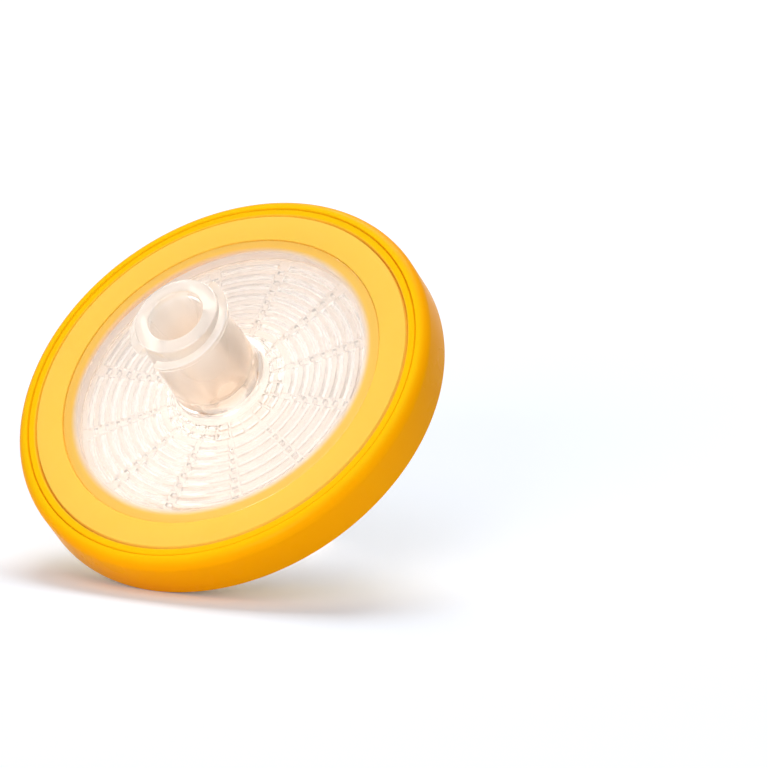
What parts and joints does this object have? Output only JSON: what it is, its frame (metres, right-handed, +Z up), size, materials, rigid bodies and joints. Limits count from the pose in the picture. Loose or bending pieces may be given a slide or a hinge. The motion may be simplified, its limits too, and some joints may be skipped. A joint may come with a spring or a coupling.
{
  "type": "syringe filter",
  "caption": "Round syringe filter: clear halves with a membrane between them, a coloured moulded rim, a locking socket inlet and a tapered outlet tip",
  "frame": {"origin": "on the bench that the filter lies on, under the middle of its bounding box", "axes": "+Z is up from the bench. The filter lies on the edge of its rim and the end of its outlet tip, and its flow axis is in the YZ plane: the inlet heads along -Y and up at 43.8 degrees to the bench. +X lies along the rim's level diameter."},
  "size_m": [0.033, 0.026, 0.0259],
  "materials": {
    "clear_plastic": "clear moulded plastic, polished",
    "membrane": "thin porous membrane, matt white",
    "coloured_plastic": "yellow-orange moulded plastic, glossy"
  },
  "bodies": {
    "root": {"inlet_housing": "clear_plastic", "outlet_housing": "clear_plastic", "membrane": "membrane", "rim_overmould": "coloured_plastic"}
  },
  "joints": []
}
